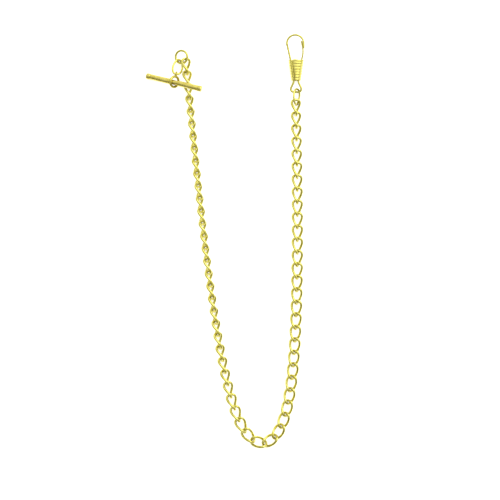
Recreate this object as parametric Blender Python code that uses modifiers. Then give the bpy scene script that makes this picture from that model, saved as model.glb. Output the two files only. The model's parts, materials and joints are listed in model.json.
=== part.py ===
"""A single Albert pocket watch chain, laid out on a flat surface.

Sixty curb links run from the ring above the T-bar down one side, round the foot of a narrow U
and up to the swivel clasp that holds the watch. The T-bar hangs from the same ring on one more
link, and lies across the chain. Metres, +Z up: X runs across the U, +Y towards the clasp, and
the surface under the chain is Z = 0. An empty named pivot_NAME stands on the joint that NAME
turns on, with its Z along the joint's axis, and each piece hangs from the one that holds it.

The chain is laid out from the T-bar end of its first link. Pieces of the T-bar end are placed
from there, and pieces of the clasp from the far end of the last link.
"""

import math

import bmesh
import bpy
from mathutils import Matrix, Vector

MM = 0.001
ASSEMBLY = "pocket_watch_chain"

# ---- chain ----
LINK_COUNT = 60
ROOT_LINK = 32
PITCH = 5.5 * MM
LINK_LENGTH = 8.1 * MM
LINK_WIDTH = 5.35 * MM
LINK_WIRE = 1.18 * MM
LINK_RISE = -1.1 * MM
LINK_POINTS = 14
# the curve that the links settle on: a hanging chain's, leaning a little
LEAN = math.radians(3.42)
SAG_LINKS = 1.06
LOWEST_LINK = 32.39
# how far the links lie over on their sides along the two strands
LEFT_ROLL = math.radians(86.0)
LEFT_ROLL_LINKS = 8.0
RIGHT_ROLL = math.radians(58.0)
FACE_ON_LINK = 33
# the first links lie over a little less, because the end ring holds them up
FIRST_ROLL_LESS = math.radians(18.0)
FIRST_ROLL_LINKS = 3.0
# neighbours that are one solid, by their lower number
JOINED_PAIRS = (6, 11, 16, 21, 39, 44, 49, 54, 58)
BRIDGE_RADIUS = 0.62 * MM
# a link swings on the end wire of its even-numbered neighbour, or on its own at these two
OWN_WIRE_JOINTS = (22, 24)
AXIS_SENSES = (1, 1, -1, -1)

# ---- T-bar end, from the start of the chain ----
RING_WIRE = 1.0 * MM
TOP_RING_RADIUS = 2.8 * MM
TOP_RING_PLACE = Vector((-1.86, 1.46, 2.67)) * MM
TOP_RING_TURN = (5.8, -23.1, 0.0)
BAR_LINK_LENGTH = 8.0 * MM
BAR_LINK_WIDTH = 5.5 * MM
BAR_LINK_RISE = 0.38 * MM
BAR_LINK_PLACE = Vector((-3.46, -3.01, 3.03)) * MM
BAR_LINK_TURN = (-21.1, 24.4, -17.8)
BAR_LENGTH = 26.0 * MM
BAR_RADIUS = 1.25 * MM
BAR_KNOB_RADIUS = 1.35 * MM
BAR_KNOB_LENGTH = 1.7 * MM
BAR_WAIST_RADIUS = 1.05 * MM
BAR_WAIST_LENGTH = 3.6 * MM
BAR_CHAMFER = 0.2 * MM
BAR_STEPS = 20
BAR_PLACE = Vector((-5.07, -9.81, 4.82)) * MM
BAR_TILT = 15.0
BAR_HEADING = -14.3
COLLAR_RADIUS = 2.3 * MM
COLLAR_WIRE = 1.1 * MM
COLLAR_PLACE = Vector((-4.92, -9.51, 4.82)) * MM
COLLAR_TILT = 41.2
EYELET_RADIUS = 0.98 * MM
EYELET_WIRE = 0.7 * MM
EYELET_PLACE = Vector((-4.17, -6.2, 4.25)) * MM

# ---- clasp, from the end of the chain; its own Y runs along it from the foot of the sleeve ----
CLASP_PLACE = Vector((0.14, 9.05, 2.2)) * MM
CLASP_RING_LENGTH = 7.9 * MM
CLASP_RING_WIDTH = 5.2 * MM
CLASP_RING_WIRE = 0.9 * MM
CLASP_RING_RISE = -0.23 * MM
CLASP_RING_PLACE = Vector((0.35, 1.9, 2.33)) * MM
CLASP_RING_TURN = (-4.4, 55.2, -4.4)
SLEEVE_LENGTH = 9.2 * MM
SLEEVE_FOOT_RADIUS = 2.1 * MM
SLEEVE_MOUTH_WIDTH = 6.8 * MM
SLEEVE_MOUTH_DEPTH = 4.4 * MM
SLEEVE_WALL = 0.35 * MM
SLEEVE_ROWS = 4
SLEEVE_SIDES = 24
HOOK_WIRE = 0.9 * MM
HOOK_HEIGHT = 0.3 * MM
HOOK_RADIUS = 3.65 * MM
HOOK_CENTRE = Vector((-0.35, 16.4, 0.0)) * MM
HOOK_ARC_POINTS = 11
HOOK_FOOT = Vector((-2.2, 7.4, 0.0)) * MM
HOOK_MOUTH = Vector((-2.45, 9.2, 0.0)) * MM
HOOK_NOSE = 2.2 * MM
GATE_WIRE = 0.68 * MM
GATE_HEIGHT = -0.45 * MM
GATE_OUTLINE = ((2.3, 8.2), (2.55, 9.6), (2.95, 11.4), (3.05, 13.6), (2.7, 15.8), (2.4, 17.5))
BAIL_WIRE = 0.95 * MM
BAIL_HALF_OUTLINE = (
    (0.0, 1.3), (0.75, 1.0), (1.0, 0.2), (1.15, -0.8), (1.75, -2.2),
    (2.25, -3.3), (2.1, -4.35), (1.3, -4.9), (0.0, -5.0),
)

# ---- wire sections, as a curve's bevel resolution ----
LINK_BEVEL = 1
WIRE_BEVEL = 2


def clear_scene():
    for obj in list(bpy.data.objects):
        bpy.data.objects.remove(obj, do_unlink=True)


def new_collection(name):
    collection = bpy.data.collections.new(name)
    bpy.context.scene.collection.children.link(collection)
    return collection


def gilt(name, colour, roughness):
    """Gold-coloured plated brass."""
    material = bpy.data.materials.new(name)
    material.use_nodes = True
    shader = material.node_tree.nodes["Principled BSDF"]
    shader.inputs["Base Color"].default_value = (*colour, 1.0)
    shader.inputs["Metallic"].default_value = 1.0
    shader.inputs["Roughness"].default_value = roughness
    return material


# ---- wire shapes ----

def loop_points(half_length, half_width, rise, count):
    """An oval round the origin, longest in X, twisted so that its two sides cross over in Z."""
    angles = [2 * math.pi * step / count for step in range(count)]
    return [
        Vector((half_length * math.cos(a), half_width * math.sin(a), rise * math.sin(2 * a)))
        for a in angles
    ]


def loop_end_direction(sense, half_width, rise):
    """The direction of an oval's wire at its far end (sense 1) or its near end (sense -1)."""
    return Vector((0.0, sense * half_width, 2 * rise)).normalized()


def wire(name, points, thickness, closed, bevel=WIRE_BEVEL):
    """A curve object's data: a round wire through the points."""
    curve = bpy.data.curves.new(name, 'CURVE')
    curve.dimensions = '3D'
    curve.bevel_depth = thickness / 2
    curve.bevel_resolution = bevel
    curve.use_fill_caps = not closed
    spline = curve.splines.new('POLY')
    spline.points.add(len(points) - 1)
    for spot, point in zip(spline.points, points):
        spot.co = (*point, 1.0)
    spline.use_cyclic_u = closed
    return curve


def loop_wire(name, length, width, rise, thickness, count, bevel=WIRE_BEVEL):
    """A closed oval of wire with these outer sizes."""
    half_length = (length - thickness) / 2
    half_width = (width - thickness) / 2
    return wire(name, loop_points(half_length, half_width, rise, count), thickness, True, bevel)


# ---- placing ----

def turned(angles):
    """A rotation in degrees about X, Y and Z, made about Y first, then X, then Z."""
    x, y, z = (math.radians(angle) for angle in angles)
    return Matrix.Rotation(z, 4, 'Z') @ Matrix.Rotation(x, 4, 'X') @ Matrix.Rotation(y, 4, 'Y')


def loop_place(point, angles):
    """The place of an oval that runs along Y before it is turned."""
    return Matrix.Translation(point) @ turned(angles) @ Matrix.Rotation(math.pi / 2, 4, 'Z')


def across(direction):
    """The rotation that stands a flat shape square to a direction."""
    return direction.to_track_quat('Z', 'Y').to_matrix().to_4x4()


def add_piece(name, data, place, material, collection):
    piece = bpy.data.objects.new(name, data)
    piece.matrix_basis = place
    data.materials.clear()
    data.materials.append(material)
    collection.objects.link(piece)
    return piece


def hang(piece, holder):
    """Parent a piece to its holder and leave it where it is."""
    piece.parent = holder
    piece.matrix_parent_inverse = holder.matrix_basis.inverted()


def add_pivot(piece, holder, point, axis, collection):
    """Hang a piece from its holder on an empty at the joint between them."""
    pivot = bpy.data.objects.new("pivot_" + piece.name, None)
    pivot.empty_display_size = PITCH / 2
    pivot.matrix_basis = Matrix.Translation(point) @ across(axis)
    collection.objects.link(pivot)
    hang(pivot, holder)
    hang(piece, pivot)


def solid_copy(piece):
    """A welded mesh of a curve piece."""
    bpy.context.view_layer.update()
    evaluated = piece.evaluated_get(bpy.context.evaluated_depsgraph_get())
    mesh = bpy.data.meshes.new_from_object(evaluated)
    shape = bmesh.new()
    shape.from_mesh(mesh)
    bmesh.ops.remove_doubles(shape, verts=shape.verts, dist=0.001 * MM)
    bmesh.ops.recalc_face_normals(shape, faces=shape.faces)
    shape.to_mesh(mesh)
    shape.free()
    return mesh


def add_cutter(name, data, place, cutters):
    cutter = bpy.data.objects.new(name, data)
    cutter.matrix_basis = place
    cutter.hide_render = True
    cutter.display_type = 'WIRE'
    cutters.objects.link(cutter)
    return cutter


def join(piece, cutter):
    """Make the cutter's shape one solid with the piece."""
    union = piece.modifiers.new(cutter.name, 'BOOLEAN')
    union.operation = 'UNION'
    union.solver = 'EXACT'
    union.object = cutter
    hang(cutter, piece)


# ---- the chain's layout ----

def heading(number):
    """The direction that a link runs in, as an angle from +X."""
    return LEAN + math.atan((number - LOWEST_LINK) / SAG_LINKS)


def roll(number):
    """How far a link lies over on its side; the two strands lie over opposite ways."""
    steps = number - FACE_ON_LINK
    if steps > 0:
        return RIGHT_ROLL * steps / (LINK_COUNT - FACE_ON_LINK)
    less = FIRST_ROLL_LESS * math.exp(-((number - 1) / FIRST_ROLL_LINKS) ** 2)
    return LEFT_ROLL * math.tanh(steps / LEFT_ROLL_LINKS) + less


def chain_stations():
    """Where each link ends and the next begins, with the start of the chain first."""
    stations = [Vector((0.0, 0.0, 0.0))]
    for number in range(1, LINK_COUNT + 1):
        angle = heading(number)
        stations.append(stations[-1] + PITCH * Vector((math.cos(angle), math.sin(angle), 0.0)))
    return stations


def link_half_sizes():
    return (LINK_LENGTH - LINK_WIRE) / 2, (LINK_WIDTH - LINK_WIRE) / 2


def link_place(number, stations):
    """A link's position: midway between its stations, rolled over, with its wire on Z = 0."""
    turn = Matrix.Rotation(heading(number), 4, 'Z') @ Matrix.Rotation(roll(number), 4, 'X')
    centreline = loop_points(*link_half_sizes(), LINK_RISE, 8 * LINK_POINTS)
    lowest = min((turn @ point).z for point in centreline)
    middle = (stations[number - 1] + stations[number]) / 2
    middle.z = LINK_WIRE / 2 - lowest
    return Matrix.Translation(middle) @ turn


def nearest_middle(first, second):
    """The point midway between two rows of points where they come closest."""
    pairs = ((a, b) for a in first for b in second)
    a, b = min(pairs, key=lambda pair: (pair[0] - pair[1]).length)
    return (a + b) / 2


def bridge_ball(name, radius):
    mesh = bpy.data.meshes.new(name)
    shape = bmesh.new()
    bmesh.ops.create_uvsphere(shape, u_segments=8, v_segments=6, radius=radius)
    shape.to_mesh(mesh)
    shape.free()
    return mesh


def add_joined_links(first, places, link_mesh, material, parts, cutters):
    """Two neighbouring links and the small bridge that makes them one solid."""
    second = first + 1
    name = f"links_{first:02d}_{second:02d}"
    piece = add_piece(name, link_mesh, places[first], material, parts)
    centreline = loop_points(*link_half_sizes(), LINK_RISE, 4 * LINK_POINTS)
    bridge_point = nearest_middle(
        [places[first] @ point for point in centreline],
        [places[second] @ point for point in centreline],
    )
    other = add_cutter(name + "_second", link_mesh, places[second], cutters)
    ball = bridge_ball(name + "_bridge", BRIDGE_RADIUS)
    bridge = add_cutter(name + "_bridge", ball, Matrix.Translation(bridge_point), cutters)
    join(piece, bridge)
    join(piece, other)
    return piece


def add_chain(stations, material, parts, cutters):
    """All the links; returns the piece that holds each link, and each link's place."""
    places = {number: link_place(number, stations) for number in range(1, LINK_COUNT + 1)}
    curve = loop_wire(
        "link", LINK_LENGTH, LINK_WIDTH, LINK_RISE, LINK_WIRE, LINK_POINTS, LINK_BEVEL
    )
    pieces = {}
    for number in places:
        if number in JOINED_PAIRS or number - 1 in JOINED_PAIRS:
            continue
        pieces[number] = add_piece(f"link_{number:02d}", curve, places[number], material, parts)
    link_mesh = solid_copy(pieces[ROOT_LINK])
    for first in JOINED_PAIRS:
        pair = add_joined_links(first, places, link_mesh, material, parts, cutters)
        pieces[first] = pair
        pieces[first + 1] = pair
    return pieces, places


def link_joint(number, places):
    """The point and the direction of the joint between a link and the next one."""
    half_length, half_width = link_half_sizes()
    if number % 2 == 0 and number not in OWN_WIRE_JOINTS:
        holder, sense = number, 1
    else:
        holder, sense = number + 1, -1
    place = places[holder]
    point = place @ Vector((sense * half_length, 0.0, 0.0))
    axis = place.to_3x3() @ loop_end_direction(sense, half_width, LINK_RISE)
    return point, axis


def joint_chain(pieces, places, parts):
    """Hang every link from its neighbour on the root's side."""
    joints = [number for number in range(1, LINK_COUNT) if number not in JOINED_PAIRS]
    for order, number in enumerate(joints):
        point, axis = link_joint(number, places)
        axis = axis * AXIS_SENSES[order % len(AXIS_SENSES)]
        nearer, farther = pieces[number], pieces[number + 1]
        if number < ROOT_LINK:
            nearer, farther = farther, nearer
        add_pivot(farther, nearer, point, axis, parts)


# ---- T-bar end ----

def add_top_ring(parts):
    material = gilt("ring_gilt", (0.72, 0.60, 0.20), 0.24)
    size = 2 * TOP_RING_RADIUS + RING_WIRE
    curve = loop_wire("top_ring", size, size, 0.0, RING_WIRE, 18)
    place = loop_place(TOP_RING_PLACE, TOP_RING_TURN)
    return add_piece("top_ring", curve, place, material, parts)


def add_bar_link(parts):
    material = gilt("bar_link_gilt", (0.72, 0.60, 0.20), 0.24)
    curve = loop_wire("bar_link", BAR_LINK_LENGTH, BAR_LINK_WIDTH, BAR_LINK_RISE, RING_WIRE, 16)
    place = loop_place(BAR_LINK_PLACE, BAR_LINK_TURN)
    return add_piece("bar_link", curve, place, material, parts)


def bar_direction():
    """The way the bar points, towards its raised end."""
    return turned((0.0, -BAR_TILT, BAR_HEADING)) @ Vector((1.0, 0.0, 0.0))


def bar_outline():
    """The bar's radius and height from its top end to its bottom end."""
    half = BAR_LENGTH / 2
    knob_start = half - BAR_KNOB_LENGTH
    waist = BAR_WAIST_LENGTH / 2
    upper = [
        (0.0, half),
        (BAR_KNOB_RADIUS - 2 * BAR_CHAMFER, half),
        (BAR_KNOB_RADIUS, half - 2 * BAR_CHAMFER),
        (BAR_KNOB_RADIUS, knob_start),
        (BAR_RADIUS, knob_start - BAR_CHAMFER),
        (BAR_RADIUS, waist + BAR_CHAMFER),
        (BAR_WAIST_RADIUS, waist),
    ]
    lower = [(radius, -height) for radius, height in reversed(upper)]
    return upper + lower


def add_t_bar(parts):
    material = gilt("bar_gilt", (0.74, 0.63, 0.22), 0.28)
    mesh = bpy.data.meshes.new("t_bar")
    points = [(radius, 0.0, height) for radius, height in bar_outline()]
    edges = [(index, index + 1) for index in range(len(points) - 1)]
    mesh.from_pydata(points, edges, [])
    place = Matrix.Translation(BAR_PLACE) @ across(bar_direction())
    piece = add_piece("t_bar", mesh, place, material, parts)
    screw = piece.modifiers.new("turned", 'SCREW')
    screw.steps = BAR_STEPS
    screw.render_steps = BAR_STEPS
    screw.use_merge_vertices = True
    screw.merge_threshold = 0.01 * MM
    screw.use_smooth_shade = True
    return piece


def wire_near(piece, target):
    """The point of a closed wire nearest to a target, and the wire's direction there."""
    points = [piece.matrix_basis @ spot.co.to_3d() for spot in piece.data.splines[0].points]
    nearest = min(range(len(points)), key=lambda index: (points[index] - target).length)
    along = points[(nearest + 1) % len(points)] - points[nearest - 1]
    return points[nearest], along.normalized()


def add_collar(bar_link, parts, cutters):
    """A ring round the bar's waist and the small eyelet on it that holds the bar link."""
    material = gilt("collar_gilt", (0.68, 0.55, 0.16), 0.28)
    size = 2 * COLLAR_RADIUS + COLLAR_WIRE
    ring = loop_wire("collar_ring", size, size, 0.0, COLLAR_WIRE, 18)
    place = Matrix.Translation(COLLAR_PLACE) @ turned((0.0, COLLAR_TILT, BAR_HEADING))
    loose_ring = add_piece("collar_ring", ring, place, material, parts)
    collar = add_piece("collar", solid_copy(loose_ring), place, material, parts)
    size = 2 * EYELET_RADIUS + EYELET_WIRE
    eyelet = loop_wire("eyelet", size, size, 0.0, EYELET_WIRE, 12)
    wire_direction = wire_near(bar_link, EYELET_PLACE)[1]
    place = Matrix.Translation(EYELET_PLACE) @ across(wire_direction)
    loose_eyelet = add_piece("eyelet", eyelet, place, material, parts)
    join(collar, add_cutter("collar_eyelet", solid_copy(loose_eyelet), place, cutters))
    bpy.data.objects.remove(loose_ring, do_unlink=True)
    bpy.data.objects.remove(loose_eyelet, do_unlink=True)
    return collar


def joint_t_bar_end(first_link, first_place, parts, cutters):
    top_ring = add_top_ring(parts)
    bar_link = add_bar_link(parts)
    collar = add_collar(bar_link, parts, cutters)
    t_bar = add_t_bar(parts)
    chain_start = first_place @ Vector((-link_half_sizes()[0], 0.0, 0.0))
    add_pivot(top_ring, first_link, *wire_near(top_ring, chain_start), parts)
    bar_link_head = bar_link.matrix_basis @ bar_link.data.splines[0].points[0].co.to_3d()
    add_pivot(bar_link, top_ring, *wire_near(top_ring, bar_link_head), parts)
    add_pivot(collar, bar_link, *wire_near(bar_link, EYELET_PLACE), parts)
    add_pivot(t_bar, collar, BAR_PLACE, bar_direction(), parts)


# ---- clasp ----

def add_clasp_ring(end, parts):
    material = gilt("clasp_ring_gilt", (0.72, 0.60, 0.20), 0.24)
    curve = loop_wire(
        "clasp_ring", CLASP_RING_LENGTH, CLASP_RING_WIDTH, CLASP_RING_RISE, CLASP_RING_WIRE, 16
    )
    place = loop_place(end + CLASP_RING_PLACE, CLASP_RING_TURN)
    return add_piece("clasp_ring", curve, place, material, parts)


def add_bail(clasp, parts):
    """A bell-shaped loop whose neck turns inside the foot of the sleeve."""
    material = gilt("bail_gilt", (0.70, 0.58, 0.18), 0.22)
    right = [Vector((x, y, 0.0)) * MM for x, y in BAIL_HALF_OUTLINE]
    left = [Vector((-point.x, point.y, 0.0)) for point in reversed(right[1:-1])]
    curve = wire("bail", right + left, BAIL_WIRE, True)
    return add_piece("bail", curve, clasp, material, parts)


def sleeve_section(share):
    """One row of the sleeve: round at its foot and a flattened, squarer oval at its mouth."""
    half_width = SLEEVE_FOOT_RADIUS + share * (SLEEVE_MOUTH_WIDTH / 2 - SLEEVE_FOOT_RADIUS)
    half_depth = SLEEVE_FOOT_RADIUS + share * (SLEEVE_MOUTH_DEPTH / 2 - SLEEVE_FOOT_RADIUS)
    squareness = 1.0 - 0.2 * share
    row = []
    for step in range(SLEEVE_SIDES):
        angle = 2 * math.pi * step / SLEEVE_SIDES
        x = math.copysign(abs(math.cos(angle)) ** squareness, math.cos(angle))
        z = math.copysign(abs(math.sin(angle)) ** squareness, math.sin(angle))
        row.append(Vector((half_width * x, share * SLEEVE_LENGTH, half_depth * z)))
    return row


def add_sleeve(clasp, parts):
    """A thin open tube, lofted from its round foot to its oval mouth."""
    material = gilt("sleeve_gilt", (0.70, 0.59, 0.19), 0.30)
    mesh = bpy.data.meshes.new("sleeve")
    shape = bmesh.new()
    rows = []
    for row in range(SLEEVE_ROWS + 1):
        section = sleeve_section(row / SLEEVE_ROWS)
        rows.append([shape.verts.new(point) for point in section])
    for lower, upper in zip(rows, rows[1:]):
        for side in range(SLEEVE_SIDES):
            after = (side + 1) % SLEEVE_SIDES
            shape.faces.new((lower[side], upper[side], upper[after], lower[after]))
    shape.to_mesh(mesh)
    shape.free()
    mesh.shade_smooth()
    piece = add_piece("sleeve", mesh, clasp, material, parts)
    wall = piece.modifiers.new("wall", 'SOLIDIFY')
    wall.thickness = SLEEVE_WALL
    wall.offset = -1.0
    wall.use_even_offset = True
    return piece


def add_hook(clasp, parts):
    """A shepherd's-crook wire, fixed in one side of the sleeve."""
    material = gilt("hook_gilt", (0.70, 0.58, 0.18), 0.24)
    points = [HOOK_FOOT, HOOK_MOUTH]
    for step in range(HOOK_ARC_POINTS):
        angle = math.pi * (1 - step / (HOOK_ARC_POINTS - 1))
        spoke = Vector((math.cos(angle), math.sin(angle), 0.0))
        points.append(HOOK_CENTRE + HOOK_RADIUS * spoke)
    points.append(points[-1] - Vector((0.0, HOOK_NOSE, 0.0)))
    curve = wire("hook", points, HOOK_WIRE, False)
    place = clasp @ Matrix.Translation((0.0, 0.0, HOOK_HEIGHT))
    return add_piece("hook", curve, place, material, parts)


def add_gate(clasp, parts):
    """The sprung wire that closes the hook from inside."""
    material = gilt("gate_gilt", (0.70, 0.58, 0.18), 0.24)
    curve = wire("gate", [Vector((x, y, 0.0)) * MM for x, y in GATE_OUTLINE], GATE_WIRE, False)
    place = clasp @ Matrix.Translation((0.0, 0.0, GATE_HEIGHT))
    return add_piece("gate", curve, place, material, parts)


def joint_clasp(last_link, last_place, end, parts):
    clasp = Matrix.Translation(end + CLASP_PLACE)
    clasp_ring = add_clasp_ring(end, parts)
    bail = add_bail(clasp, parts)
    sleeve = add_sleeve(clasp, parts)
    hook = add_hook(clasp, parts)
    gate = add_gate(clasp, parts)
    chain_end = last_place @ Vector((link_half_sizes()[0], 0.0, 0.0))
    link_normal = last_place.to_3x3() @ Vector((0.0, 0.0, 1.0))
    add_pivot(clasp_ring, last_link, chain_end, link_normal, parts)
    bail_foot = clasp @ Vector((0.0, BAIL_HALF_OUTLINE[-1][1] * MM, 0.0))
    add_pivot(bail, clasp_ring, bail_foot, Vector((1.0, 0.0, 0.0)), parts)
    add_pivot(sleeve, bail, clasp.translation, Vector((0.0, 1.0, 0.0)), parts)
    hang(hook, sleeve)
    gate_foot = gate.matrix_basis @ gate.data.splines[0].points[0].co.to_3d()
    add_pivot(gate, sleeve, gate_foot, Vector((0.0, 0.0, 1.0)), parts)


# ---- the whole object ----

def stand_on_origin(root, parts):
    """Move the assembly so that the middle of its box is over the origin and rests on Z = 0."""
    bpy.context.view_layer.update()
    depsgraph = bpy.context.evaluated_depsgraph_get()
    corners = []
    for piece in parts.objects:
        if piece.type == 'EMPTY':
            continue
        evaluated = piece.evaluated_get(depsgraph)
        mesh = evaluated.to_mesh()
        corners.extend(evaluated.matrix_world @ vertex.co for vertex in mesh.vertices)
        evaluated.to_mesh_clear()
    low = [min(corner[axis] for corner in corners) for axis in range(3)]
    high = [max(corner[axis] for corner in corners) for axis in range(3)]
    root.location = (-(low[0] + high[0]) / 2, -(low[1] + high[1]) / 2, -low[2])
    bpy.context.view_layer.update()


def main():
    clear_scene()
    parts = new_collection(ASSEMBLY)
    cutters = new_collection(ASSEMBLY + "_cutters")
    stations = chain_stations()
    link_material = gilt("link_gilt", (0.72, 0.60, 0.20), 0.24)
    pieces, places = add_chain(stations, link_material, parts, cutters)
    joint_chain(pieces, places, parts)
    joint_t_bar_end(pieces[1], places[1], parts, cutters)
    joint_clasp(pieces[LINK_COUNT], places[LINK_COUNT], stations[-1], parts)
    root = bpy.data.objects.new(ASSEMBLY, None)
    parts.objects.link(root)
    pieces[ROOT_LINK].parent = root
    stand_on_origin(root, parts)


main()
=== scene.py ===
"""The looks of a single Albert pocket watch chain: fine links, rings, T-bar and swivel clasp in
worn gold plate, each placed on the frame, on a white studio floor seen from above.

The chain's layout repeats the frame's own rule for where each link lies, and is brought to the
frame by one joint's position. Lengths are in metres, and MM turns millimetres into metres, but
the outlines of the T-bar and the clasp are in millimetres until they are built.
"""

import json
import math
import random

import bmesh
import bpy
from mathutils import Matrix, Vector


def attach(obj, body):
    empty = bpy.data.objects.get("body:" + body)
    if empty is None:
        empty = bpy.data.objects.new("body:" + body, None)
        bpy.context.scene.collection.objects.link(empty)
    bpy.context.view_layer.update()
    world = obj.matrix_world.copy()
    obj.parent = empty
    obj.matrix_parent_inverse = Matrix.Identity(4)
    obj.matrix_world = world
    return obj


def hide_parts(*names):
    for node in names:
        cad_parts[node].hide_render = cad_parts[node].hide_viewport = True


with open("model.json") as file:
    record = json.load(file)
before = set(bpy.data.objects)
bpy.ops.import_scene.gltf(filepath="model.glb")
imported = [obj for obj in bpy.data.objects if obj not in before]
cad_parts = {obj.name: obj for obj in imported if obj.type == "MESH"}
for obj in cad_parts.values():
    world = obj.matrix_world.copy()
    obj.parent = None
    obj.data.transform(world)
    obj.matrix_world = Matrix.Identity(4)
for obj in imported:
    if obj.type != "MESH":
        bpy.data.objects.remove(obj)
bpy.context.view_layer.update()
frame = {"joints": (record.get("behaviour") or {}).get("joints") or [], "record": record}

MM = 0.001
JOINTS = {joint["name"]: joint for joint in frame["joints"]}
NODE_BODY = {
    node: body for body, nodes in frame["record"]["behaviour"]["bodies"].items() for node in nodes
}

# ---- the chain's layout, as in the frame ----
LINK_COUNT = 60
PITCH = 5.5 * MM
LINK_LENGTH = 8.1 * MM
LINK_WIDTH = 5.35 * MM
LINK_WIRE = 1.18 * MM
LINK_RISE = -1.1 * MM
LEAN = math.radians(3.42)
SAG_LINKS = 1.06
LOWEST_LINK = 32.39
LEFT_ROLL = math.radians(86.0)
LEFT_ROLL_LINKS = 8.0
RIGHT_ROLL = math.radians(58.0)
FACE_ON_LINK = 33
FIRST_ROLL_LESS = math.radians(18.0)
FIRST_ROLL_LINKS = 3.0
HALF_LENGTH = (LINK_LENGTH - LINK_WIRE) / 2
HALF_WIDTH = (LINK_WIDTH - LINK_WIRE) / 2
# how many points of a link are tried to find the lowest one, which rests on the floor
RESTING_STEPS = 112
# the joint that brings the layout to the frame, and the link whose near end it stands on
ANCHOR_JOINT = "link_31_32"
ANCHOR_LINK = 32

# ---- T-bar end, from the start of the chain ----
RING_WIRE = 1.0 * MM
TOP_RING_RADIUS = 2.8 * MM
TOP_RING_PLACE = Vector((-1.86, 1.46, 2.67)) * MM
TOP_RING_TURN = (5.8, -23.1, 0.0)
BAR_LINK_HALF_LENGTH = 3.5 * MM
BAR_LINK_HALF_WIDTH = 2.25 * MM
BAR_LINK_RISE = 0.38 * MM
BAR_LINK_PLACE = Vector((-3.46, -3.01, 3.03)) * MM
BAR_LINK_TURN = (-21.1, 24.4, -17.8)
COLLAR_RADIUS = 2.3 * MM
COLLAR_WIRE = 1.1 * MM
COLLAR_PLACE = Vector((-4.92, -9.51, 4.82)) * MM
COLLAR_TURN = (0.0, 41.2, -14.3)
EYELET_RADIUS = 0.98 * MM
EYELET_WIRE = 0.7 * MM
EYELET_PLACE = Vector((-4.17, -6.2, 4.25)) * MM
SOLDER_RADIUS = 0.5 * MM

# ---- clasp; its own Y runs along it from the foot of the sleeve, and its own Z up ----
CLASP_RING_HALF_LENGTH = 3.5 * MM
CLASP_RING_HALF_WIDTH = 2.15 * MM
CLASP_RING_WIRE = 0.9 * MM
CLASP_RING_RISE = -0.23 * MM
CLASP_RING_PLACE = Vector((0.35, 1.9, 2.33)) * MM
CLASP_RING_TURN = (-4.4, 55.2, -4.4)
BAIL_RADIUS = 0.45 * MM
HOOK_WIRE_RADIUS = 0.42 * MM
HOOK_RISE = 0.3 * MM
GATE_RADIUS = 0.34 * MM
GATE_RISE = -0.45 * MM

# ---- the clasp's outlines, in millimetres ----
SLEEVE_LENGTH = 9.2
SLEEVE_FOOT = 2.1
SLEEVE_MOUTH_HALF_WIDTH = 3.4
SLEEVE_MOUTH_HALF_DEPTH = 2.2
SLEEVE_WALL = 0.3
GROOVES = (1.1, 2.3, 3.5, 4.7, 6.0, 7.2, 8.3)
GROOVE_DEPTH = 0.18
GROOVE_REACH = 0.16
FOOT_TURNED_IN = 0.12
MOUTH_TURNED_IN = 0.10
TURN_REACH = 0.14
EDGE_CURL = 0.22
HOOK_LEG = [(-2.2, 7.4), (-2.45, 9.2), (-3.2, 12.6), (-3.95, 15.9)]
HOOK_CENTRE = (-0.35, 16.4)
HOOK_RADIUS = 3.65
HOOK_NOSE_DROPS = (0.5, 1.0, 1.5, 1.8)
KNUCKLE = (-4.0, 16.1)
KNUCKLE_LENGTH = 0.45
KNUCKLE_SWELL = 0.22
GATE_LINE = [(2.3, 8.2), (2.55, 9.6), (2.95, 11.4), (3.05, 13.6), (2.7, 15.8), (2.42, 17.2)]
# one half of the bail, from its neck inside the sleeve to the foot of the bell
BAIL_HALF = [
    (0.0, 1.3), (0.75, 1.0), (1.0, 0.2), (1.15, -0.8), (1.75, -2.2),
    (2.25, -3.3), (2.1, -4.35), (1.3, -4.9), (0.0, -5.0),
]

# ---- wires drawn slimmer than their nominal size, so that pieces in motion stay clear ----
LINK_SLIM = 0.965
BAR_LINK_SLIM = 0.94
CLASP_RING_SLIM = 0.95

# how far a soldered joint's swell and its cut reach, as shares of the way round the wire
JOINT_SWELL_REACH = 0.035
JOINT_CUT_REACH = 0.008

# ---- what makes one link differ from the next ----
DICE_SEED = 7
LINK_VARIANTS = 6
SEAM_WANDER = 3
WIRE_UNEVENNESS = 0.006

# ---- how finely pieces are made ----
LINK_STEPS = 60
LINK_SIDES = 14
RING_STEPS = 96
EYELET_STEPS = 48
WIRE_SIDES = 18
BAR_SEGMENTS = 72
SLEEVE_ROWS = 92
SLEEVE_COLUMNS = 96
HOOK_ARC_STEPS = 48


# ---- materials ----

# the plate's patterns repeat in millimetres, and each piece has its own part of them
PATTERN_SCALE = (1000.0, 1000.0, 1000.0)
PATTERN_SHIFT = (7.3, 3.1, 5.7)
SCRATCH_STRETCH = (0.6, 9.0, 4.0)
SCRATCH_STRENGTH = 0.16
SCRATCH_DEPTH = 0.05 * MM
# painted shade: the brown that recesses and the places between parts are darkened towards
PAINTED_SHADE_BROWN = (0.16, 0.11, 0.015)
UNSHADED = (1.0, 1.0, 1.0)
LACQUER_WEIGHT = 0.35
LACQUER_ROUGHNESS = 0.12
# a colour mix node's sockets
MIX_FACTOR, MIX_FIRST, MIX_SECOND, MIX_RESULT = 0, 6, 7, 2


class Nodes:
    """A short way to add and link a material's nodes."""

    def __init__(self, material):
        material.use_nodes = True
        self.tree = material.node_tree
        self.shader = self.tree.nodes["Principled BSDF"]

    def add(self, kind, values=None, **settings):
        """A new node; values go to its inputs, and a value that is an output is linked."""
        node = self.tree.nodes.new(kind)
        for key, value in settings.items():
            setattr(node, key, value)
        for key, value in (values or {}).items():
            if isinstance(value, bpy.types.NodeSocket):
                self.tree.links.new(value, node.inputs[key])
            else:
                node.inputs[key].default_value = value
        return node

    def feed(self, socket, output):
        """Link an output to one of the surface shader's inputs."""
        self.tree.links.new(output, self.shader.inputs[socket])


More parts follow.
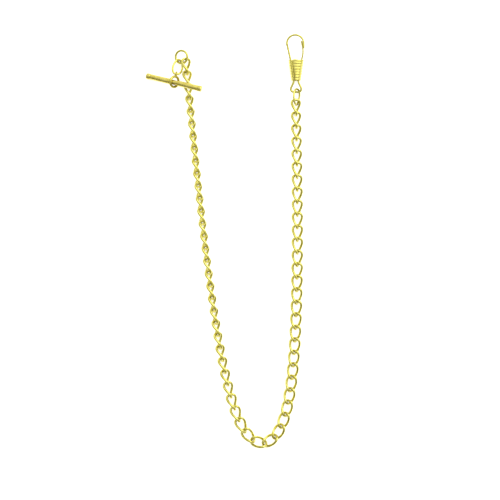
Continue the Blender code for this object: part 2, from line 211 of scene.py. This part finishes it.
def ramp(nodes, factor, stops):
    """A colour ramp through (position, colour) stops."""
    node = nodes.add("ShaderNodeValToRGB", {"Fac": factor})
    elements = node.color_ramp.elements
    while len(elements) < len(stops):
        elements.new(0.5)
    for element, (position, colour) in zip(elements, stops):
        element.position = position
        element.color = (*colour, 1.0)
    return node.outputs["Color"]


def gold_plate(name, bright, deep, roughness, scratches=1.0, shade_reach=1.6):
    """Polished gold plate with a cloudy tone, fine scratches and dulled spots.

    Painted shade darkens the colour in recesses and between parts, out to the given reach in
    millimetres from what would shade them.
    """
    material = bpy.data.materials.new(name)
    nodes = Nodes(material)
    place = nodes.add("ShaderNodeTexCoord").outputs["Object"]
    seed = nodes.add("ShaderNodeObjectInfo").outputs["Random"]
    shift = nodes.add(
        "ShaderNodeVectorMath", operation='SCALE', values={0: PATTERN_SHIFT, "Scale": seed}
    )
    scaled = nodes.add(
        "ShaderNodeVectorMath", operation='MULTIPLY', values={0: place, 1: PATTERN_SCALE}
    )
    spot = nodes.add(
        "ShaderNodeVectorMath", {0: scaled.outputs[0], 1: shift.outputs[0]}, operation='ADD'
    ).outputs[0]
    cloud = nodes.add("ShaderNodeTexNoise", {"Vector": spot, "Scale": 0.55, "Detail": 4.0})
    tone = ramp(nodes, cloud.outputs["Fac"], [(0.34, deep), (0.62, bright)])
    # painted shade: the base colour turns brown where other wire is near, standing in for the shade
    # in recesses and between parts
    shade_probe = nodes.add("ShaderNodeAmbientOcclusion", {"Distance": shade_reach * MM}, samples=6)
    painted_shade = ramp(nodes, shade_probe.outputs["AO"], [(0.10, PAINTED_SHADE_BROWN), (0.78, UNSHADED)])
    shaded = nodes.add(
        "ShaderNodeMix",
        {MIX_FACTOR: 1.0, MIX_FIRST: tone, MIX_SECOND: painted_shade},
        data_type='RGBA',
        blend_type='MULTIPLY',
    )
    nodes.feed("Base Color", shaded.outputs[MIX_RESULT])
    smear = nodes.add("ShaderNodeTexNoise", {"Vector": spot, "Scale": 1.7, "Detail": 5.0})
    gloss = nodes.add(
        "ShaderNodeMapRange",
        {
            "Value": smear.outputs["Fac"],
            "From Min": 0.3,
            "From Max": 0.75,
            "To Min": roughness * 0.7,
            "To Max": roughness * 1.6,
        },
    )
    nodes.feed("Roughness", gloss.outputs[0])
    stretched = nodes.add(
        "ShaderNodeVectorMath", {0: spot, 1: SCRATCH_STRETCH}, operation='MULTIPLY'
    )
    scratch = nodes.add(
        "ShaderNodeTexNoise", {"Vector": stretched.outputs[0], "Scale": 1.4, "Detail": 6.0}
    )
    pits = nodes.add("ShaderNodeTexVoronoi", {"Vector": spot, "Scale": 2.3})
    relief = nodes.add(
        "ShaderNodeMath",
        {0: scratch.outputs["Fac"], 1: pits.outputs["Distance"]},
        operation='MULTIPLY',
    )
    bump = nodes.add(
        "ShaderNodeBump",
        {
            "Height": relief.outputs[0],
            "Strength": SCRATCH_STRENGTH * scratches,
            "Distance": SCRATCH_DEPTH,
        },
    )
    nodes.feed("Normal", bump.outputs["Normal"])
    nodes.shader.inputs["Metallic"].default_value = 1.0
    nodes.shader.inputs["Coat Weight"].default_value = LACQUER_WEIGHT
    nodes.shader.inputs["Coat Roughness"].default_value = LACQUER_ROUGHNESS
    return material


LINK_GOLD = gold_plate("link_plate", (0.80, 0.74, 0.20), (0.66, 0.58, 0.09), 0.21)
RING_GOLD = gold_plate("ring_plate", (0.78, 0.72, 0.18), (0.68, 0.61, 0.11), 0.17)
BAR_GOLD = gold_plate("bar_plate", (0.82, 0.71, 0.18), (0.70, 0.58, 0.10), 0.25, scratches=1.6)
# the sleeve's painted shade reaches only 0.45 mm, so that it darkens its grooves
SLEEVE_GOLD = gold_plate(
    "sleeve_plate", (0.84, 0.76, 0.19), (0.74, 0.65, 0.12), 0.33, scratches=1.6, shade_reach=0.45
)
WIRE_GOLD = gold_plate("hook_plate", (0.64, 0.58, 0.12), (0.52, 0.46, 0.06), 0.20)
SOLDER_GOLD = gold_plate("collar_plate", (0.70, 0.62, 0.13), (0.58, 0.48, 0.06), 0.26, scratches=1.4)


# ---- swept wires ----

def oval(half_length, half_width, rise, steps):
    """An oval round the origin, longest in X, with its two sides crossing over in Z."""
    angles = [2 * math.pi * step / steps for step in range(steps)]
    return [
        Vector((half_length * math.cos(a), half_width * math.sin(a), rise * math.sin(2 * a)))
        for a in angles
    ]


def smooth_line(points, per_span, closed):
    """Points along a Catmull-Rom curve through the given ones."""
    count = len(points)
    spans = count if closed else count - 1
    line = []
    for span in range(spans):
        corner = [
            points[(span + step) % count] if closed else points[min(max(span + step, 0), count - 1)]
            for step in (-1, 0, 1, 2)
        ]
        for step in range(per_span):
            t = step / per_span
            line.append(
                0.5 * (
                    2 * corner[1]
                    + t * (corner[2] - corner[0])
                    + t * t * (2 * corner[0] - 5 * corner[1] + 4 * corner[2] - corner[3])
                    + t ** 3 * (3 * corner[1] - corner[0] - 3 * corner[2] + corner[3])
                )
            )
    if not closed:
        line.append(points[-1].copy())
    return line


def tangents(points, closed):
    """The line's direction at each of its points."""
    count = len(points)
    found = []
    for index in range(count):
        after = points[(index + 1) % count] if closed else points[min(index + 1, count - 1)]
        before = points[index - 1] if closed else points[max(index - 1, 0)]
        found.append((after - before).normalized())
    return found


def carried_normals(points, closed):
    """Side directions that turn as little as possible along the line, and meet on a closed one."""
    along = tangents(points, closed)
    side = along[0].orthogonal().normalized()
    sides = [side]
    for before, after in zip(along, along[1:]):
        side = before.rotation_difference(after) @ side
        side = (side - after * side.dot(after)).normalized()
        sides.append(side)
    if closed:
        last = along[-1].rotation_difference(along[0]) @ sides[-1]
        slip = math.atan2(along[0].dot(last.cross(sides[0])), last.dot(sides[0]))
        count = len(points)
        sides = [
            Matrix.Rotation(slip * index / count, 3, tangent) @ side
            for index, (tangent, side) in enumerate(zip(along, sides))
        ]
    return along, sides


def add_tube(shape, points, radii, sides, closed):
    """A round tube along the points, with domed ends if it's open."""
    along, normals = carried_normals(points, closed)
    rings = []
    for point, tangent, normal, radius in zip(points, along, normals, radii):
        other = tangent.cross(normal)
        rings.append([
            shape.verts.new(
                point + radius * (math.cos(angle) * normal + math.sin(angle) * other)
            )
            for angle in (2 * math.pi * side / sides for side in range(sides))
        ])
    pairs = list(zip(rings, rings[1:]))
    if closed:
        pairs.append((rings[-1], rings[0]))
    for first, second in pairs:
        for side in range(sides):
            after = (side + 1) % sides
            shape.faces.new((first[side], first[after], second[after], second[side]))
    if not closed:
        shape.faces.new(tuple(reversed(rings[0])))
        shape.faces.new(tuple(rings[-1]))


def rounded_ends(points, radius, steps=5):
    """An open wire's points and radii, with a half-round dome added at both ends."""
    out_points = list(points)
    out_radii = [radius] * len(points)
    first = (points[0] - points[1]).normalized()
    last = (points[-1] - points[-2]).normalized()
    for step in range(1, steps + 1):
        # the last ring stays a little open, and a flat face closes it
        angle = 0.5 * math.pi * step / (steps + 0.4)
        out_points.insert(0, points[0] + first * radius * math.sin(angle))
        out_radii.insert(0, radius * math.cos(angle))
        out_points.append(points[-1] + last * radius * math.sin(angle))
        out_radii.append(radius * math.cos(angle))
    return out_points, out_radii


def finished_mesh(name, shape, material):
    """A smooth mesh from a closed shape, with its faces looking outwards."""
    bmesh.ops.recalc_face_normals(shape, faces=shape.faces)
    mesh = bpy.data.meshes.new(name)
    shape.to_mesh(mesh)
    shape.free()
    mesh.shade_smooth()
    mesh.materials.append(material)
    return mesh


def tube_mesh(name, points, radii, sides, closed, material):
    """A mesh of one round wire."""
    shape = bmesh.new()
    add_tube(shape, points, radii, sides, closed)
    return finished_mesh(name, shape, material)


def jointed_radii(points, radius, seam, swell=0.03, cut=0.035):
    """A closed wire's radii, a little fuller at its soldered joint and cut by the joint's line.

    The seam is the number of the point where the joint is. The swell is a share of the wire's
    radius, and the cut a share of its diameter.
    """
    count = len(points)
    radii = []
    for index in range(count):
        away = min(abs(index - seam), count - abs(index - seam)) / count
        fuller = swell * math.exp(-(away / JOINT_SWELL_REACH) ** 2)
        line = cut * math.exp(-(away / JOINT_CUT_REACH) ** 2)
        radii.append(radius * (1 + fuller - 2 * line))
    return radii


def place_piece(name, mesh, place, node):
    """Put a fine piece where its CAD node is and let it move with that node's body."""
    placed = mesh.copy()
    placed.name = name
    placed.transform(place)
    piece = bpy.data.objects.new(name, placed)
    bpy.context.scene.collection.objects.link(piece)
    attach(piece, NODE_BODY[node])
    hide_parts(node)
    return piece


# ---- the chain ----

def heading(number):
    """A link's direction along the floor."""
    return LEAN + math.atan((number - LOWEST_LINK) / SAG_LINKS)


def roll(number):
    """How far a link lies over on its side."""
    steps = number - FACE_ON_LINK
    if steps > 0:
        return RIGHT_ROLL * steps / (LINK_COUNT - FACE_ON_LINK)
    less = FIRST_ROLL_LESS * math.exp(-((number - 1) / FIRST_ROLL_LINKS) ** 2)
    return LEFT_ROLL * math.tanh(steps / LEFT_ROLL_LINKS) + less


def chain_stations():
    """The points between links, from the chain's start to its end."""
    stations = [Vector((0.0, 0.0, 0.0))]
    for number in range(1, LINK_COUNT + 1):
        angle = heading(number)
        stations.append(stations[-1] + PITCH * Vector((math.cos(angle), math.sin(angle), 0.0)))
    return stations


def link_place(number, stations):
    """Where a link lies, resting on the floor."""
    turn = Matrix.Rotation(heading(number), 4, 'Z') @ Matrix.Rotation(roll(number), 4, 'X')
    outline = oval(HALF_LENGTH, HALF_WIDTH, LINK_RISE, RESTING_STEPS)
    lowest = min((turn @ point).z for point in outline)
    middle = (stations[number - 1] + stations[number]) / 2
    middle.z = LINK_WIRE / 2 - lowest
    return Matrix.Translation(middle) @ turn


def link_mesh(variant, dice):
    """A link of drawn wire, its joint soldered shut on one of its long sides."""
    points = oval(HALF_LENGTH, HALF_WIDTH, LINK_RISE, LINK_STEPS)
    side = LINK_STEPS // 4 if variant % 2 else 3 * LINK_STEPS // 4
    seam = side + dice.randint(-SEAM_WANDER, SEAM_WANDER)
    radii = jointed_radii(points, LINK_SLIM * LINK_WIRE / 2, seam)
    drawn = [radius * (1 + dice.uniform(-WIRE_UNEVENNESS, WIRE_UNEVENNESS)) for radius in radii]
    return tube_mesh(f"link_wire_{variant}", points, drawn, LINK_SIDES, True, LINK_GOLD)


def link_nodes():
    """Which CAD node holds each link."""
    found = {}
    for node in NODE_BODY:
        if node.startswith("link"):
            for number in node.split("_")[1:]:
                if number.isdigit():
                    found[int(number)] = node
    return found


def build_chain():
    """Lay the links; returns the frame's place for the layout's start and end."""
    stations = chain_stations()
    anchor = link_place(ANCHOR_LINK, stations) @ Vector((-HALF_LENGTH, 0.0, 0.0))
    shift = Vector(JOINTS[ANCHOR_JOINT]["pos_m"]) - anchor
    dice = random.Random(DICE_SEED)
    meshes = [link_mesh(variant, dice) for variant in range(LINK_VARIANTS)]
    for number, node in sorted(link_nodes().items()):
        place = Matrix.Translation(shift) @ link_place(number, stations)
        mesh = meshes[dice.randrange(LINK_VARIANTS)]
        place_piece(f"fine_link_{number:02d}", mesh, place, node)
    return stations[0] + shift, stations[-1] + shift


# ---- T-bar end ----

def turned(angles):
    """A rotation in degrees about X, Y and Z, made about Y first, then X, then Z."""
    x, y, z = (math.radians(angle) for angle in angles)
    return Matrix.Rotation(z, 4, 'Z') @ Matrix.Rotation(x, 4, 'X') @ Matrix.Rotation(y, 4, 'Y')


def loop_place(point, angles):
    """Where an oval is, once it has been turned to be longest in Y."""
    return Matrix.Translation(point) @ turned(angles) @ Matrix.Rotation(math.pi / 2, 4, 'Z')


def across(direction):
    """A rotation that brings Z to the direction."""
    return direction.to_track_quat('Z', 'Y').to_matrix().to_4x4()


def build_end_rings(start):
    """The round end ring and the oval drop link, which carries the T-bar.

    Returns the points of the drop link's wire.
    """
    points = oval(TOP_RING_RADIUS, TOP_RING_RADIUS, 0.0, RING_STEPS)
    radii = jointed_radii(points, RING_WIRE / 2, seam=70, swell=0.02, cut=0.05)
    mesh = tube_mesh("end_ring", points, radii, WIRE_SIDES, True, RING_GOLD)
    place = loop_place(start + TOP_RING_PLACE, TOP_RING_TURN)
    place_piece("fine_top_ring", mesh, place, "top_ring")
    points = oval(BAR_LINK_HALF_LENGTH, BAR_LINK_HALF_WIDTH, BAR_LINK_RISE, RING_STEPS)
    radii = jointed_radii(points, BAR_LINK_SLIM * RING_WIRE / 2, seam=20, cut=0.05)
    mesh = tube_mesh("drop_link", points, radii, WIRE_SIDES, True, RING_GOLD)
    place = loop_place(start + BAR_LINK_PLACE, BAR_LINK_TURN)
    place_piece("fine_bar_link", mesh, place, "bar_link")
    return [place @ point for point in points]


def build_collar(start, drop_link):
    """The collar ring, the eyelet across the drop link's wire, and the solder between them."""
    place = Matrix.Translation(start + COLLAR_PLACE) @ turned(COLLAR_TURN)
    ring = oval(COLLAR_RADIUS, COLLAR_RADIUS, 0.0, RING_STEPS)
    middle = start + EYELET_PLACE
    count = len(drop_link)
    nearest = min(range(count), key=lambda index: (drop_link[index] - middle).length)
    along = drop_link[(nearest + 1) % count] - drop_link[nearest - 1]
    eyelet_place = place.inverted() @ Matrix.Translation(middle) @ across(along)
    flat_eyelet = oval(EYELET_RADIUS, EYELET_RADIUS, 0.0, EYELET_STEPS)
    eyelet = [eyelet_place @ point for point in flat_eyelet]
    shape = bmesh.new()
    add_tube(shape, ring, [COLLAR_WIRE / 2] * len(ring), WIRE_SIDES, True)
    add_tube(shape, eyelet, [EYELET_WIRE / 2] * len(eyelet), WIRE_SIDES, True)
    pairs = [(a, b) for a in ring for b in eyelet]
    touch = min(pairs, key=lambda pair: (pair[0] - pair[1]).length)
    solder = (touch[0] + touch[1]) / 2
    blob = bmesh.ops.create_icosphere(shape, subdivisions=3, radius=SOLDER_RADIUS)
    bmesh.ops.translate(shape, verts=blob["verts"], vec=solder)
    mesh = finished_mesh("collar_ring", shape, SOLDER_GOLD)
    place_piece("fine_collar", mesh, place, "collar")


def bar_outline():
    """The bar's radius and height in millimetres, from the middle to one end."""
    return [
        (1.05, 0.0), (1.05, 1.72), (1.07, 1.80), (1.17, 1.93), (1.23, 2.0), (1.25, 2.1),
        (1.25, 6.0), (1.25, 10.9), (1.23, 10.98), (1.17, 11.03), (1.17, 11.13), (1.24, 11.18),
        (1.32, 11.28), (1.35, 11.42), (1.35, 12.45), (1.33, 12.62), (1.27, 12.78), (1.16, 12.91),
        (1.02, 12.96), (0.90, 12.98), (0.5, 12.98), (0.0, 12.98),
    ]


def build_bar():
    """The T-bar: a turned rod with a waist, and a band with a fine groove at each end."""
    joint = JOINTS["bar_spin"]
    place = Matrix.Translation(Vector(joint["pos_m"])) @ across(Vector(joint["axis"]))
    half = [(radius * MM, height * MM) for radius, height in bar_outline()]
    outline = [(radius, -height) for radius, height in reversed(half)] + half[1:]
    shape = bmesh.new()
    rows = []
    for radius, height in outline:
        if radius == 0.0:
            rows.append([shape.verts.new((0.0, 0.0, height))])
            continue
        rows.append([
            shape.verts.new((radius * math.cos(angle), radius * math.sin(angle), height))
            for angle in (2 * math.pi * segment / BAR_SEGMENTS for segment in range(BAR_SEGMENTS))
        ])
    for lower, upper in zip(rows, rows[1:]):
        for segment in range(BAR_SEGMENTS):
            after = (segment + 1) % BAR_SEGMENTS
            corners = [
                lower[segment % len(lower)], lower[after % len(lower)],
                upper[after % len(upper)], upper[segment % len(upper)],
            ]
            shape.faces.new(list(dict.fromkeys(corners)))
    mesh = finished_mesh("turned_bar", shape, BAR_GOLD)
    mesh.set_sharp_from_angle(angle=math.radians(50))
    place_piece("fine_t_bar", mesh, place, "t_bar")


# ---- clasp ----

def flat_points(pairs):
    """Points in the clasp's plane, from pairs in millimetres."""
    return [Vector((x, y, 0.0)) * MM for x, y in pairs]


def build_clasp_ring(end):
    """The oval ring between the chain's last link and the bail."""
    points = oval(CLASP_RING_HALF_LENGTH, CLASP_RING_HALF_WIDTH, CLASP_RING_RISE, RING_STEPS)
    wire = CLASP_RING_SLIM * CLASP_RING_WIRE / 2
    radii = jointed_radii(points, wire, seam=26, swell=0.02, cut=0.05)
    mesh = tube_mesh("oval_ring", points, radii, WIRE_SIDES, True, RING_GOLD)
    place = loop_place(end + CLASP_RING_PLACE, CLASP_RING_TURN)
    place_piece("fine_clasp_ring", mesh, place, "clasp_ring")


def build_bail(clasp):
    """A bell-shaped wire loop, closed inside the sleeve."""
    mirrored = [(-x, y) for x, y in reversed(BAIL_HALF[1:-1])]
    points = smooth_line(flat_points(BAIL_HALF + mirrored), per_span=8, closed=True)
    radii = [BAIL_RADIUS] * len(points)
    mesh = tube_mesh("bell_wire", points, radii, WIRE_SIDES, True, WIRE_GOLD)
    place_piece("fine_bail", mesh, clasp, "bail")


def sleeve_point(share, turn):
    """A point on the sleeve's ribbed skin; share runs up it and turn round it from its seam."""
    gap = 0.03
    # the seam leans to the left on its way up
    seam = math.acos(-0.31 - 0.205 * share)
    angle = seam + gap + turn * (2 * math.pi - 2 * gap)
    half_width = SLEEVE_FOOT + share * (SLEEVE_MOUTH_HALF_WIDTH - SLEEVE_FOOT)
    half_depth = SLEEVE_FOOT + share * (SLEEVE_MOUTH_HALF_DEPTH - SLEEVE_FOOT)
    squareness = 1.0 - 0.2 * share
    cosine, sine = math.cos(angle), math.sin(angle)
    x = math.copysign(abs(cosine) ** squareness, cosine)
    z = math.copysign(abs(sine) ** squareness, sine)
    curl = EDGE_CURL * math.exp(-(min(turn, 1 - turn) / 0.008) ** 2)
    depth = rib_depth(share) + curl
    # the mouth's rim rises in a low lip, left of its middle
    lip = 0.30 * math.exp(-((half_width * x + 0.4) / 0.8) ** 2) - 0.12
    y = share * SLEEVE_LENGTH + lip * max(0.0, (share - 0.8) / 0.2)
    return Vector(((half_width - depth) * x, y, (half_depth - depth) * z)) * MM


def rib_depth(share):
    """How far the skin dips below its outline: seven rolled grooves, and turned-in ends."""
    height = share * SLEEVE_LENGTH
    dip = 0.0
    for groove in GROOVES:
        dip += GROOVE_DEPTH * math.exp(-((height - groove) / GROOVE_REACH) ** 2)
    dip += FOOT_TURNED_IN * math.exp(-(height / TURN_REACH) ** 2)
    dip += MOUTH_TURNED_IN * math.exp(-((SLEEVE_LENGTH - height) / TURN_REACH) ** 2)
    return dip


def build_sleeve(clasp):
    """A sheet rolled into a ribbed, flattened cone, with its two edges not quite meeting."""
    shape = bmesh.new()
    grid = [
        [
            shape.verts.new(sleeve_point(row / SLEEVE_ROWS, column / SLEEVE_COLUMNS))
            for column in range(SLEEVE_COLUMNS + 1)
        ]
        for row in range(SLEEVE_ROWS + 1)
    ]
    for lower, upper in zip(grid, grid[1:]):
        for column in range(SLEEVE_COLUMNS):
            shape.faces.new(
                (lower[column], lower[column + 1], upper[column + 1], upper[column])
            )
    mesh = bpy.data.meshes.new("ribbed_sleeve")
    shape.to_mesh(mesh)
    shape.free()
    mesh.shade_smooth()
    mesh.materials.append(SLEEVE_GOLD)
    piece = place_piece("fine_sleeve", mesh, clasp, "sleeve")
    wall = piece.modifiers.new("wall", 'SOLIDIFY')
    wall.thickness = SLEEVE_WALL * MM
    wall.offset = sleeve_offset(mesh)


def sleeve_offset(mesh):
    """The side on which the wall is inside, whichever way the skin's faces look."""
    face = mesh.polygons[len(mesh.polygons) // 2]
    outward = Vector((face.center.x, 0.0, face.center.z))
    return -1.0 if face.normal.dot(outward) > 0 else 1.0


def build_hook(clasp):
    """The crook: a straight leg, a small knuckle, the arc and a short nose."""
    points = smooth_line(flat_points(HOOK_LEG), per_span=10, closed=False)
    for step in range(HOOK_ARC_STEPS + 1):
        angle = math.pi * (1 - step / HOOK_ARC_STEPS)
        x = HOOK_CENTRE[0] + HOOK_RADIUS * math.cos(angle)
        y = HOOK_CENTRE[1] + HOOK_RADIUS * math.sin(angle)
        points.append(Vector((x, y, 0.0)) * MM)
    nose = points[-1]
    points.extend(nose - Vector((0.0, drop * MM, 0.0)) for drop in HOOK_NOSE_DROPS)
    points, radii = rounded_ends(points, HOOK_WIRE_RADIUS)
    knuckle = Vector((*KNUCKLE, 0.0)) * MM
    shaped = []
    for point, radius in zip(points, radii):
        away = (point - knuckle).length / (KNUCKLE_LENGTH * MM)
        shaped.append(radius * (1 + KNUCKLE_SWELL * math.exp(-away ** 2)))
    mesh = tube_mesh("crook_wire", points, shaped, WIRE_SIDES, False, WIRE_GOLD)
    place = clasp @ Matrix.Translation((0.0, 0.0, HOOK_RISE))
    place_piece("fine_hook", mesh, place, "hook")


def build_gate(clasp):
    """The sprung gate wire, which closes under the hook's nose."""
    line = smooth_line(flat_points(GATE_LINE), per_span=10, closed=False)
    points, radii = rounded_ends(line, GATE_RADIUS)
    mesh = tube_mesh("gate_wire", points, radii, WIRE_SIDES, False, WIRE_GOLD)
    place = clasp @ Matrix.Translation((0.0, 0.0, GATE_RISE))
    place_piece("fine_gate", mesh, place, "gate")


# ---- studio ----

# the middle of the view, and how much of the floor it takes in
VIEW_MIDDLE = Vector((10.887, -3.912, 0.0)) * MM
VIEW_WIDTH = 219.5 * MM
VIEW_HEIGHT = 1.2
SENSOR = 36.0
# the room: its brightest direction, its brightness away from it and towards it, and the cosines
# of the angles from that direction at which it is fully dim and fully bright
ROOM_BRIGHT_SIDE = Vector((0.30, 0.70, 0.65))
ROOM_DIM = 0.22
ROOM_BRIGHT = 1.0
ROOM_DIM_UP_TO = -0.35
ROOM_BRIGHT_FROM = 0.95
WHITE = (1.0, 1.0, 1.0, 1.0)
FLOOR_SIZE = 4.0
FLOOR_DROP = -0.02 * MM
FLOOR_GLOW = 0.62
SOFTBOX_PLACE = Vector((0.50, 0.60, 0.95))
SOFTBOX_SIZE = 0.9
SOFTBOX_POWER = 5.5


def build_floor():
    """A white, evenly lit table, with a very faint unevenness."""
    bpy.ops.mesh.primitive_plane_add(size=FLOOR_SIZE, location=(0.0, 0.0, FLOOR_DROP))
    floor = bpy.context.object
    floor.name = "floor"
    material = bpy.data.materials.new("white_sweep")
    nodes = Nodes(material)
    noise = nodes.add("ShaderNodeTexNoise", {"Scale": 6.0, "Detail": 2.0})
    greys = [(0.3, (0.93, 0.93, 0.93)), (0.7, (0.95, 0.95, 0.95))]
    tone = ramp(nodes, noise.outputs["Fac"], greys)
    nodes.feed("Base Color", tone)
    nodes.shader.inputs["Roughness"].default_value = 0.9
    nodes.shader.inputs["Specular IOR Level"].default_value = 0.1
    nodes.shader.inputs["Emission Color"].default_value = WHITE
    nodes.shader.inputs["Emission Strength"].default_value = FLOOR_GLOW
    floor.data.materials.append(material)


def add_softbox():
    """One square soft light above the chain's far side."""
    light = bpy.data.lights.new("key", 'AREA')
    light.shape = 'SQUARE'
    light.size = SOFTBOX_SIZE
    light.energy = SOFTBOX_POWER
    box = bpy.data.objects.new("key", light)
    box.location = SOFTBOX_PLACE
    box.rotation_euler = (-SOFTBOX_PLACE).to_track_quat('-Z', 'Y').to_euler()
    bpy.context.scene.collection.objects.link(box)


def build_room():
    """A pale room, bright on one side and dim on the other."""
    world = bpy.data.worlds.new("studio")
    bpy.context.scene.world = world
    world.use_nodes = True
    tree = world.node_tree
    background = tree.nodes["Background"]
    place = tree.nodes.new("ShaderNodeTexCoord")
    towards = tree.nodes.new("ShaderNodeVectorMath")
    towards.operation = 'DOT_PRODUCT'
    towards.inputs[1].default_value = ROOM_BRIGHT_SIDE.normalized()
    shade = tree.nodes.new("ShaderNodeMapRange")
    shade.interpolation_type = 'SMOOTHSTEP'
    shade.inputs["From Min"].default_value = ROOM_DIM_UP_TO
    shade.inputs["From Max"].default_value = ROOM_BRIGHT_FROM
    shade.inputs["To Min"].default_value = ROOM_DIM
    shade.inputs["To Max"].default_value = ROOM_BRIGHT
    tree.links.new(place.outputs["Generated"], towards.inputs[0])
    tree.links.new(towards.outputs["Value"], shade.inputs["Value"])
    tree.links.new(shade.outputs["Result"], background.inputs["Strength"])
    background.inputs["Color"].default_value = WHITE


def build_camera():
    """A camera straight above the chain, whose view takes in VIEW_WIDTH of the floor."""
    camera = bpy.data.cameras.new("camera")
    camera.sensor_width = SENSOR
    camera.lens = SENSOR * VIEW_HEIGHT / VIEW_WIDTH
    camera.clip_start = 0.01
    holder = bpy.data.objects.new("camera", camera)
    holder.location = VIEW_MIDDLE + Vector((0.0, 0.0, VIEW_HEIGHT))
    bpy.context.scene.collection.objects.link(holder)
    bpy.context.scene.camera = holder
    bpy.context.scene.view_settings.view_transform = 'Standard'


chain_start, chain_end = build_chain()
drop_link = build_end_rings(chain_start)
build_collar(chain_start, drop_link)
build_bar()
clasp_place = Matrix.Translation(Vector(JOINTS["clasp_swivel"]["pos_m"]))
build_clasp_ring(chain_end)
build_bail(clasp_place)
build_sleeve(clasp_place)
build_hook(clasp_place)
build_gate(clasp_place)
build_floor()
build_room()
add_softbox()
build_camera()
